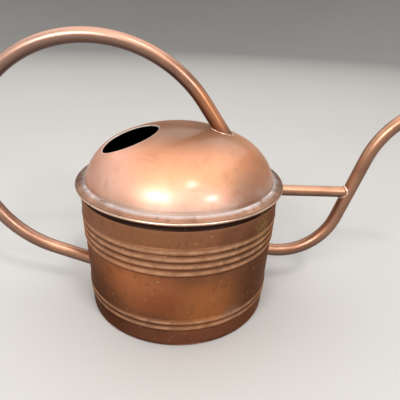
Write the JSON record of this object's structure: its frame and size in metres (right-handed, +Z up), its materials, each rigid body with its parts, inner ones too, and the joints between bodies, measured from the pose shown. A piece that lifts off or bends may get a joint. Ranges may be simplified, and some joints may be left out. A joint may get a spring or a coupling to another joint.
{
  "type": "watering can",
  "caption": "Round sheet-metal watering can with a domed top, a sloping fill opening, a ring handle and a long bent spout held by a level brace.",
  "frame": {"origin": "middle of the flat underside", "axes": "+Z up, +X towards the spout, -Y the side seen from the front"},
  "size_m": [0.3881, 0.1522, 0.2018],
  "materials": {
    "pan_copper": "satin, worn",
    "wall_copper": "satin, patinated",
    "rim_copper": "satin, rubbed bright on the roll",
    "dome_copper": "satin, patinated",
    "tube_copper": "satin to polished",
    "joint_metal": "dull, slightly grey"
  },
  "bodies": {
    "root": {"base_pan": "pan_copper", "body_wall": "wall_copper", "base_seam_solder": "joint_metal", "shoulder_ring": "rim_copper", "dome_cover": "dome_copper", "dome_solder": "joint_metal", "handle_tube": "tube_copper", "spout_tube": "tube_copper", "brace_tube": "tube_copper", "handle_dome_weld": "joint_metal", "handle_wall_weld": "joint_metal", "spout_wall_weld": "joint_metal", "brace_wall_weld": "joint_metal", "brace_spout_weld": "joint_metal"}
  },
  "joints": []
}
